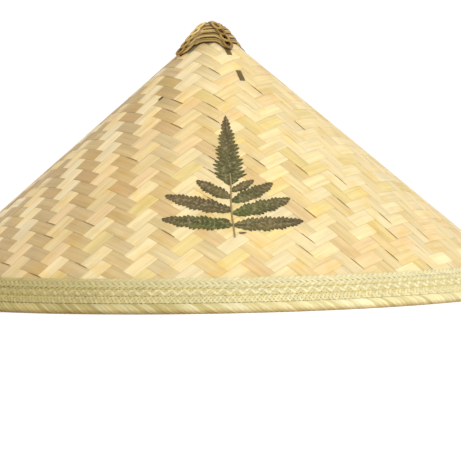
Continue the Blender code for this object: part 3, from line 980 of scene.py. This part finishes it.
def crown_shade_layer():
    """A dark layer of painted shade under the rows of cane, which shows in the gaps between them."""
    azimuth = ring(CROWN_SAMPLES)
    share = np.linspace(*SHADE_LAYER_SPAN, SHADE_LAYER_RINGS)
    slant = cap_edge(azimuth)[:, None] * np.concatenate([share, share[::-1]])
    outer = np.maximum(cap_face(share) - SHADE_LAYER_DEPTH, SHADE_LAYER_OUTER_LEAST)
    offset = np.concatenate([outer, np.full(SHADE_LAYER_RINGS, SHADE_LAYER_INNER)])
    across = np.linspace(-SHADE_LAYER_ACROSS, SHADE_LAYER_ACROSS, 2 * SHADE_LAYER_RINGS)
    grid = place(slant, azimuth[:, None], offset)
    strands = Strands("crown_winding")
    strands.add(grid, azimuth * SHADE_LAYER_GRAIN, across, SHADE_LAYER_TONE, closed=True)
    strands.piece("painted_shade_layer", DARK_CANE)


LINK_PITCH = 7.2 * MM
LINK_HALF_LENGTH = 4.5 * MM
LINK_HALF_WIDTH = 2.9 * MM
LINK_SHIFT = 0.35 * MM
LINK_CANE_RADIUS = 1.05 * MM
LINK_FLATNESS = 0.9
LINK_TILT = 0.45 * MM
LINK_LIFT = 0.30 * MM
LINK_SAMPLES = 28
LINK_FIRST = 7.0 * MM
LINK_RAISED = 0.8 * MM
LINK_LIGHTER = 1.42


def crown_ridge(node, seed, middle, lean):
    """Loops of cane down a rib, each one over the foot of the loop above it."""
    _, slant_to, _, _ = wall_range(node)
    sideways = np.array([math.cos(middle), math.sin(middle), 0.0])
    strands = Strands(node, seed)
    turn = ring(LINK_SAMPLES)
    profile = oval(LINK_CANE_RADIUS, LINK_CANE_RADIUS * LINK_FLATNESS)
    centre = slant_to - LINK_HALF_LENGTH - LINK_CANE_RADIUS - LINK_RAISED
    while centre > LINK_FIRST:
        slant = centre + LINK_HALF_LENGTH * np.cos(turn)
        offset = cap_face(np.clip(slant / slant_to, 0, 1)) + LINK_LIFT + LINK_TILT * np.cos(turn)
        aside = LINK_HALF_WIDTH * strands.uniform(0.90, 1.12) * np.sin(turn)
        aside = aside + LINK_SHIFT * strands.uniform(-1, 1) + ridge_aside(lean, slant / slant_to)
        path = place(slant, middle, offset) + aside[:, None] * sideways
        tone = strands.chosen(CANE_TONES) * LINK_LIGHTER
        strands.sweep(path, outward(middle)[None], profile, tone, closed=True)
        centre -= LINK_PITCH
    strands.piece("loops", CANE)


RIB_TONES = weighted((112, 90, 46, 1))
RIB_SAMPLES = 90
RIB_PROFILE = flat_profile(2.0 * MM, 0.55 * MM, 0.08 * MM)
# Where the rib runs under the outer weave, and over what length it dips
RIB_HIDDEN_FROM = 43.5 * MM
RIB_HIDDEN_TO = 63.0 * MM
RIB_DIP = 1.5 * MM
RIB_SHOWN = 0.40 * MM
RIB_HIDDEN = -1.15 * MM
RIB_HIDDEN_THINNER = 0.7
RIB_END_TUCK = 0.5


def right_rib(node="crown_rib_2"):
    """It leaves the right ridge, dips under the outer weave and comes up again."""
    slant, _, azimuth = on_wall(cad_points(node))
    path = np.linspace(slant.min(), slant.max(), RIB_SAMPLES)
    turn = np.polyval(np.polyfit(slant, azimuth, 1), path)
    hidden = smooth_share(path, RIB_HIDDEN_FROM - RIB_DIP, RIB_HIDDEN_FROM)
    hidden = hidden * (1 - smooth_share(path, RIB_HIDDEN_TO, RIB_HIDDEN_TO + RIB_DIP))
    tucked = smooth_share(path, slant.max() - RIB_DIP, slant.max())
    offset = RIB_SHOWN + (RIB_HIDDEN - RIB_SHOWN) * np.maximum(hidden, RIB_END_TUCK * tucked)
    profile = np.tile(RIB_PROFILE, (RIB_SAMPLES, 1, 1))
    profile[..., 1] *= (1 - RIB_HIDDEN_THINNER * hidden)[:, None]
    strands = Strands(node, 71)
    strands.lay(path, turn, offset, profile, strands.chosen(RIB_TONES))
    strands.piece("tail", DARK_CANE)


# ---- fern, on the unrolled cone

FERN_TIP_X = 8.9 * MM
FERN_FOOT_X = 12.7 * MM
FERN_THICKNESS = 0.20 * MM
FERN_LIFT = 0.20 * MM
FERN_EDGE = 0.10 * MM
FERN_PLEAT = 0.10 * MM
FERN_VEINS = 0.16
FERN_GRAIN = 2
# A leaf's section, with a raised midrib
FERN_ACROSS = np.array([-1, -0.55, -0.07, 0, 0.07, 0.55, 1, 0.55, 0, -0.55])
FERN_FACE = np.array([0.3, 1.0, 1.1, 1.9, 1.1, 1.0, 0.3, 0, 0, 0]) * FERN_THICKNESS
FERN_BROWN = srgb(112, 92, 56)
FERN_GREEN = srgb(96, 104, 42)
# A leaf is greener than its share of green at the root, and less green towards its end
GREEN_AT_ROOT = 1.6
GREEN_FADING = 1.5
TOOTH_SPACING = 3.1 * MM
TOOTH_SAMPLES = 9
TOOTH_PEAK = 0.7
TOOTH_FULLNESS = 0.55
TOOTH_UNEVEN = 0.10
TOOTH_WAVES = 1.7
STEM_TONE = srgb(172, 144, 96)
STEM_PROFILE = oval(0.60 * MM, 0.36 * MM)
STEM_LIFT = 0.35 * MM
STEM_WAVE = 0.5 * MM
STEM_WAVES = 14
# The stem is modelled from this share of it to the foot
STEM_FROM = 0.5
BLADE_SHARE = 0.60
BLADE_HALF_WIDTH = 12.4 * MM
BLADE_BROADEST = 0.90
BLADE_FULLNESS = 0.74
BLADE_TEETH = 18
BLADE_GREEN = 0.45
PINNA_LONGER = 1.03
PINNA_WIDER = 1.12
PINNA_SKEW = 0.72
PINNA_FULLNESS = 0.60
PINNA_ROOT = 0.3 * MM
PINNA_CURL = -0.03
PINNA_LEAST_TEETH = 5
FRAGMENT_TEETH = 3
# How deep the teeth are cut, and how far they lean
BLADE_CUT = (0.50, 0.46)
PINNA_CUT = (0.36, 0.34)
FRAGMENT_CUT = (0.3, 0.2)
# Each pinna: side (-1 left, +1 right), share of the stem from the tip, reach across, rise, half width,
# and how green it is
PINNAE = (
    (-1, 0.910, 48.3 * MM, 10.2 * MM, 6.6 * MM, 0.75),
    (-1, 0.800, 45.8 * MM, 20.0 * MM, 6.6 * MM, 0.15),
    (-1, 0.700, 23.4 * MM, 19.8 * MM, 5.2 * MM, 0.30),
    (1, 0.645, 15.8 * MM, 13.6 * MM, 3.7 * MM, 0.20),
    (1, 0.730, 29.0 * MM, 23.6 * MM, 5.6 * MM, 0.50),
    (1, 0.825, 40.6 * MM, 21.7 * MM, 6.5 * MM, 0.65),
    (1, 0.913, 48.3 * MM, 11.0 * MM, 6.8 * MM, 0.30),
)
# Each broken fragment: distance aside of the stem, share, reach across, rise, half width
FRAGMENTS = (
    (-2.2 * MM, 0.880, -5.6 * MM, 3.0 * MM, 1.3 * MM),
    (3.6 * MM, 0.966, 5.4 * MM, 0.3 * MM, 0.8 * MM),
)


def rolled_up(flat, offset):
    """Points on the wall from points on the unrolled cone."""
    across, down = flat[..., 0], flat[..., 1]
    return place(np.hypot(across, down), np.arctan2(across, down) / COS, offset)


def toothed_edge(strands, teeth, phase, cut):
    """How far a toothed edge reaches, as a share of the leaf's outline. teeth counts them along it."""
    saw = (teeth + phase) % 1
    lobe = np.minimum(saw / TOOTH_PEAK, (1 - saw) / (1 - TOOTH_PEAK)) ** TOOTH_FULLNESS
    uneven = 1 + TOOTH_UNEVEN * np.sin(teeth * TOOTH_WAVES + strands.uniform(0, 6))
    return (1 - cut * (1 - lobe)) * uneven


def leaf(strands, start, end, outline_at, teeth, cut_and_lean, green, curl=0.0):
    """A leaf from start to end. Its teeth lean towards end, and its midrib stands up a little.

    outline_at takes shares of the leaf's length and gives its half widths there.
    """
    cut, lean = cut_and_lean
    t = np.linspace(0.0, 1.0, teeth * TOOTH_SAMPLES + 1)
    size = np.linalg.norm(end - start)
    way = (end - start) / size
    side = np.array([way[1], -way[0]])
    centre = start + size * (t[:, None] * way + curl * np.sin(math.pi * t)[:, None] * side)
    reach = np.zeros((len(t), len(FERN_ACROSS)))
    for sign, phase in ((-1, 0.0), (1, strands.uniform(0.2, 0.6))):
        edge = (outline_at(t) + FERN_EDGE) * toothed_edge(strands, t * teeth, phase, cut)
        reach += np.where(FERN_ACROSS * sign > 0, FERN_ACROSS, 0) * edge[:, None]
    flat = centre[:, None] + reach[..., None] * side + (lean * np.abs(reach))[..., None] * way
    veins = np.cos(t * teeth * math.tau)[:, None]
    mix = np.clip(green * (GREEN_AT_ROOT - GREEN_FADING * t), 0, 1)[:, None]
    tone = (FERN_BROWN * (1 - mix) + FERN_GREEN * mix) * (1 + FERN_VEINS * veins)
    tone = tone * strands.uniform(0.92, 1.08)
    offset = FERN_LIFT + FERN_PLEAT * veins * np.abs(FERN_ACROSS) + FERN_FACE
    strands.add(rolled_up(flat, offset), t * size * FERN_GRAIN, FERN_ACROSS, tone)


def blade_outline(t):
    """The blade's half width, from its root at 0 to the frond's tip at 1."""
    growth = np.minimum((1 - t) / BLADE_BROADEST, t / (1 - BLADE_BROADEST))
    return BLADE_HALF_WIDTH * np.clip(growth, 0, 1) ** BLADE_FULLNESS


def pinna_outline(half_width):
    """A pinna's half width along it, broadest before the middle."""

    def outline_at(t):
        growth = np.clip(np.sin(math.pi * t**PINNA_SKEW), 0, 1)
        return PINNA_WIDER * half_width * growth**PINNA_FULLNESS

    return outline_at


def fern_stem(strands, tip, stem):
    share = np.linspace(STEM_FROM, 1.0, 50)
    flat = tip + stem * share[:, None]
    flat[:, 0] += STEM_WAVE * np.sin(share * STEM_WAVES)
    path = rolled_up(flat, STEM_LIFT)
    azimuth = np.arctan2(path[:, 0], -path[:, 1])
    strands.sweep(path, outward(azimuth), STEM_PROFILE, STEM_TONE)


def fern_frond():
    """A pressed frond: a toothed blade at the top and toothed pinnae below it, on a thin stem."""
    top, bottom, _, _ = wall_range("fern_frond")
    tip = np.array([FERN_TIP_X, math.sqrt(top**2 - FERN_TIP_X**2)])
    stem = np.array([FERN_FOOT_X - FERN_TIP_X, bottom - top])
    strands = Strands("fern_frond", 83)
    fern_stem(strands, tip, stem)
    root = tip + stem * BLADE_SHARE
    leaf(strands, root, tip, blade_outline, BLADE_TEETH, BLADE_CUT, BLADE_GREEN)
    for side, share, reach, rise, half_width, green in PINNAE:
        root = tip + stem * share + (side * PINNA_ROOT, 0)
        end = root + (PINNA_LONGER * side * reach, -PINNA_LONGER * rise)
        teeth = max(round(np.hypot(reach, rise) / TOOTH_SPACING), PINNA_LEAST_TEETH)
        outline = pinna_outline(half_width)
        leaf(strands, root, end, outline, teeth, PINNA_CUT, green, PINNA_CURL * side)
    for aside, share, reach, rise, half_width in FRAGMENTS:
        root = tip + stem * share + (aside, 0)
        end = root + (reach, -rise)
        leaf(strands, root, end, pinna_outline(half_width), FRAGMENT_TEETH, FRAGMENT_CUT, 0.0)
    strands.piece("leaf", FERN)


# ---- head ring

BAND_STRANDS = 9
BAND_CYCLE = 62 * MM
BAND_HALF_WIDTH = 2.9 * MM
BAND_PROFILE = flat_profile(BAND_HALF_WIDTH, 0.30 * MM, 0.02 * MM)
BAND_LIFT = 0.24 * MM
CORD_TONES = weighted((222, 208, 178, 1))
# How far each ply's middle is from the cord's, and a ply's radius
CORD_PLY = 0.38 * MM
PLY_RADIUS = 1.05 * CORD_PLY
CORD_TURNS = 3
CORD_TWISTS = 30
CORD_SPREAD = 5.2 * MM
# The cord is drawn through the inner weave, so its middle reaches this far above the CAD's loop
CORD_ABOVE = 0.6 * MM
LASHINGS = 6


def head_ring_band(node="head_ring_band"):
    """A plaited band of flat bamboo strips."""
    points = cad_points(node)
    bottom, top = points[:, 2].min(), points[:, 2].max()
    middle = (radii(points).min() + radii(points).max()) / 2
    strands = Strands(node, 91)

    def placer(share, across, height):
        azimuth = share * math.tau
        return around(middle + height, azimuth, (bottom + top) / 2 + across), around(1.0, azimuth, 0.0)

    def tone_at(azimuth):
        return strands.chosen(INNER_TONES)

    repeats = round(math.tau * middle / BAND_CYCLE)
    half_span = (top - bottom) / 2 - BAND_HALF_WIDTH
    braid(strands, placer, BAND_STRANDS, repeats, half_span, BAND_PROFILE, BAND_LIFT, True, tone_at)
    strands.piece("strips", INNER_BAMBOO)


def squared(wave):
    """A sine or cosine with tighter corners."""
    return np.abs(wave) ** 0.5 * np.sign(wave)


def head_ring_lashing(node, seed):
    """Three turns of two-ply cord round the upper hoop and through the inner weave."""
    points = cad_points(node)
    azimuth = math.atan2(points[:, 0].mean(), -points[:, 1].mean())
    inner, outer = radii(points).min() + 2 * CORD_PLY, radii(points).max() - 2 * CORD_PLY
    low, high = points[:, 2].min() + 2 * CORD_PLY, points[:, 2].max() + CORD_ABOVE
    share = np.linspace(0, 1, 150)
    angle = share * CORD_TURNS * math.tau
    radius = (inner + outer) / 2 + squared(np.cos(angle)) * (outer - inner) / 2
    height = (low + high) / 2 + squared(np.sin(angle)) * (high - low) / 2
    side = np.array([math.cos(azimuth), math.sin(azimuth), 0.0])
    centre = around(radius, azimuth, height) + ((share - 0.5) * CORD_SPREAD)[:, None] * side
    forward = unit(np.gradient(centre, axis=0))
    first = unit(np.cross(forward, side))
    second = np.cross(forward, first)
    strands = Strands(node, seed)
    tone = strands.chosen(CORD_TONES)
    for start in (0, math.pi):
        twist = (share * CORD_TWISTS * math.tau + start)[:, None]
        aside = CORD_PLY * (np.cos(twist) * first + np.sin(twist) * second)
        strands.sweep(centre + aside, aside, oval(PLY_RADIUS, PLY_RADIUS, 6), tone)
    strands.piece("cord", CORD)


# ---- CAD nodes that stay, and the stage

WORLD_LIGHT = 0.80
WORLD_SEEN = 1.05
WHITE = (1, 1, 1, 1)
FLOOR_DROP = 0.2 * MM
FLOOR_HALF_SIZE = 6.0
FLOOR_TONE = (0.96, 0.96, 0.96, 1)
FLOOR_ROUGHNESS = 0.9
FLOOR_GLOW = 0.24
# Each light: name, place, size, power and colour. All of them point at LIT.
LIT = (0, 0, 0.08)
LIGHTS = (
    ("key", (0.9, -1.3, 1.3), 0.9, 16, (1.0, 0.98, 0.94)),
    ("fill", (-1.5, -1.0, 0.8), 1.4, 4, (1.0, 1.0, 1.0)),
)
# The camera's distance and the point that it looks at, in multiples of the hat's radius
CAMERA_DISTANCE = 5.0
CAMERA_AIM = Vector((0.049, 0, 0.1935))
CAMERA_ELEVATION = math.radians(3.6)
CAMERA_LENS = 119.2
CAMERA_ROLL = math.radians(1.0)


def keep_node(node, material):
    """A CAD node that stays as it is, with a better material."""
    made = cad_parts[node]
    made.data.materials.clear()
    made.data.materials.append(material)


def looking(position, target):
    """The rotation with which a light or camera looks from a position at a target."""
    return (Vector(target) - Vector(position)).to_track_quat("-Z", "Y")


def floor():
    """A pale floor just under the rim."""
    mesh = bpy.data.meshes.new("floor")
    far = FLOOR_HALF_SIZE
    corners = [(x, y, -FLOOR_DROP) for x, y in ((-far, -far), (far, -far), (far, far), (-far, far))]
    mesh.from_pydata(corners, [], [(0, 1, 2, 3)])
    pale = bpy.data.materials.new("pale_floor")
    pale.use_nodes = True
    inputs = pale.node_tree.nodes["Principled BSDF"].inputs
    inputs["Base Color"].default_value = FLOOR_TONE
    inputs["Roughness"].default_value = FLOOR_ROUGHNESS
    inputs["Emission Color"].default_value = WHITE
    inputs["Emission Strength"].default_value = FLOOR_GLOW
    mesh.materials.append(pale)
    in_scene("floor", mesh)


def studio():
    """A white surround, which the camera sees brighter than it shines, and two soft lights."""
    world = bpy.data.worlds.new("studio")
    world.use_nodes = True
    nodes, links = world.node_tree.nodes, world.node_tree.links
    background = nodes["Background"]
    background.inputs["Color"].default_value = WHITE
    rays = nodes.new("ShaderNodeLightPath")
    strength = nodes.new("ShaderNodeMapRange")
    strength.inputs["To Min"].default_value = WORLD_LIGHT
    strength.inputs["To Max"].default_value = WORLD_SEEN
    links.new(rays.outputs["Is Camera Ray"], strength.inputs["Value"])
    links.new(strength.outputs["Result"], background.inputs["Strength"])
    bpy.context.scene.world = world
    bpy.context.scene.view_settings.view_transform = "Standard"
    for name, position, size, power, colour in LIGHTS:
        light = bpy.data.lights.new(name, "AREA")
        light.size = size
        light.energy = power
        light.color = colour
        made = in_scene(name, light)
        made.location = position
        made.rotation_euler = looking(position, LIT).to_euler()


def camera():
    """The photo's view: a little above the rim, and slightly rolled."""
    radius = CAD_BOX[1].x
    distance = CAMERA_DISTANCE * radius
    made = in_scene("camera", bpy.data.cameras.new("camera"))
    made.data.lens = CAMERA_LENS
    made.location = (0, -distance * math.cos(CAMERA_ELEVATION), distance * math.sin(CAMERA_ELEVATION))
    turned = looking(made.location, CAMERA_AIM * radius).to_matrix().to_4x4()
    made.rotation_euler = (turned @ Matrix.Rotation(-CAMERA_ROLL, 4, "Z")).to_euler()
    bpy.context.scene.camera = made


# ---- the hat

outer_weave()
leaf_lining()
inner_weave()
edge_binding()
for rim_row in RIM_BRAIDS:
    rim_braid(*rim_row)
stitches("rim_thread_lower", 47)
stitches("rim_thread_upper", 48)
bamboo_hoop("rim_hoop", 49, on_cone=True)
crown_shade_layer()
crown_winding()
for ridge in zip(RIDGES, RIDGE_SEEDS, RIDGE_AZIMUTHS, RIDGE_LEANS):
    crown_ridge(*ridge)
right_rib()
fern_frond()
head_ring_band()
bamboo_hoop("head_ring_upper_hoop", 50)
bamboo_hoop("head_ring_lower_hoop", 51)
for number in range(1, LASHINGS + 1):
    head_ring_lashing(f"head_ring_lashing_{number}", number)
keep_node("rim_edge_cane", HIDDEN_BAMBOO)
for hidden_rib in ("crown_rib_1", "crown_rib_3", "crown_rib_4"):
    keep_node(hidden_rib, HIDDEN_CANE)
floor()
studio()
camera()
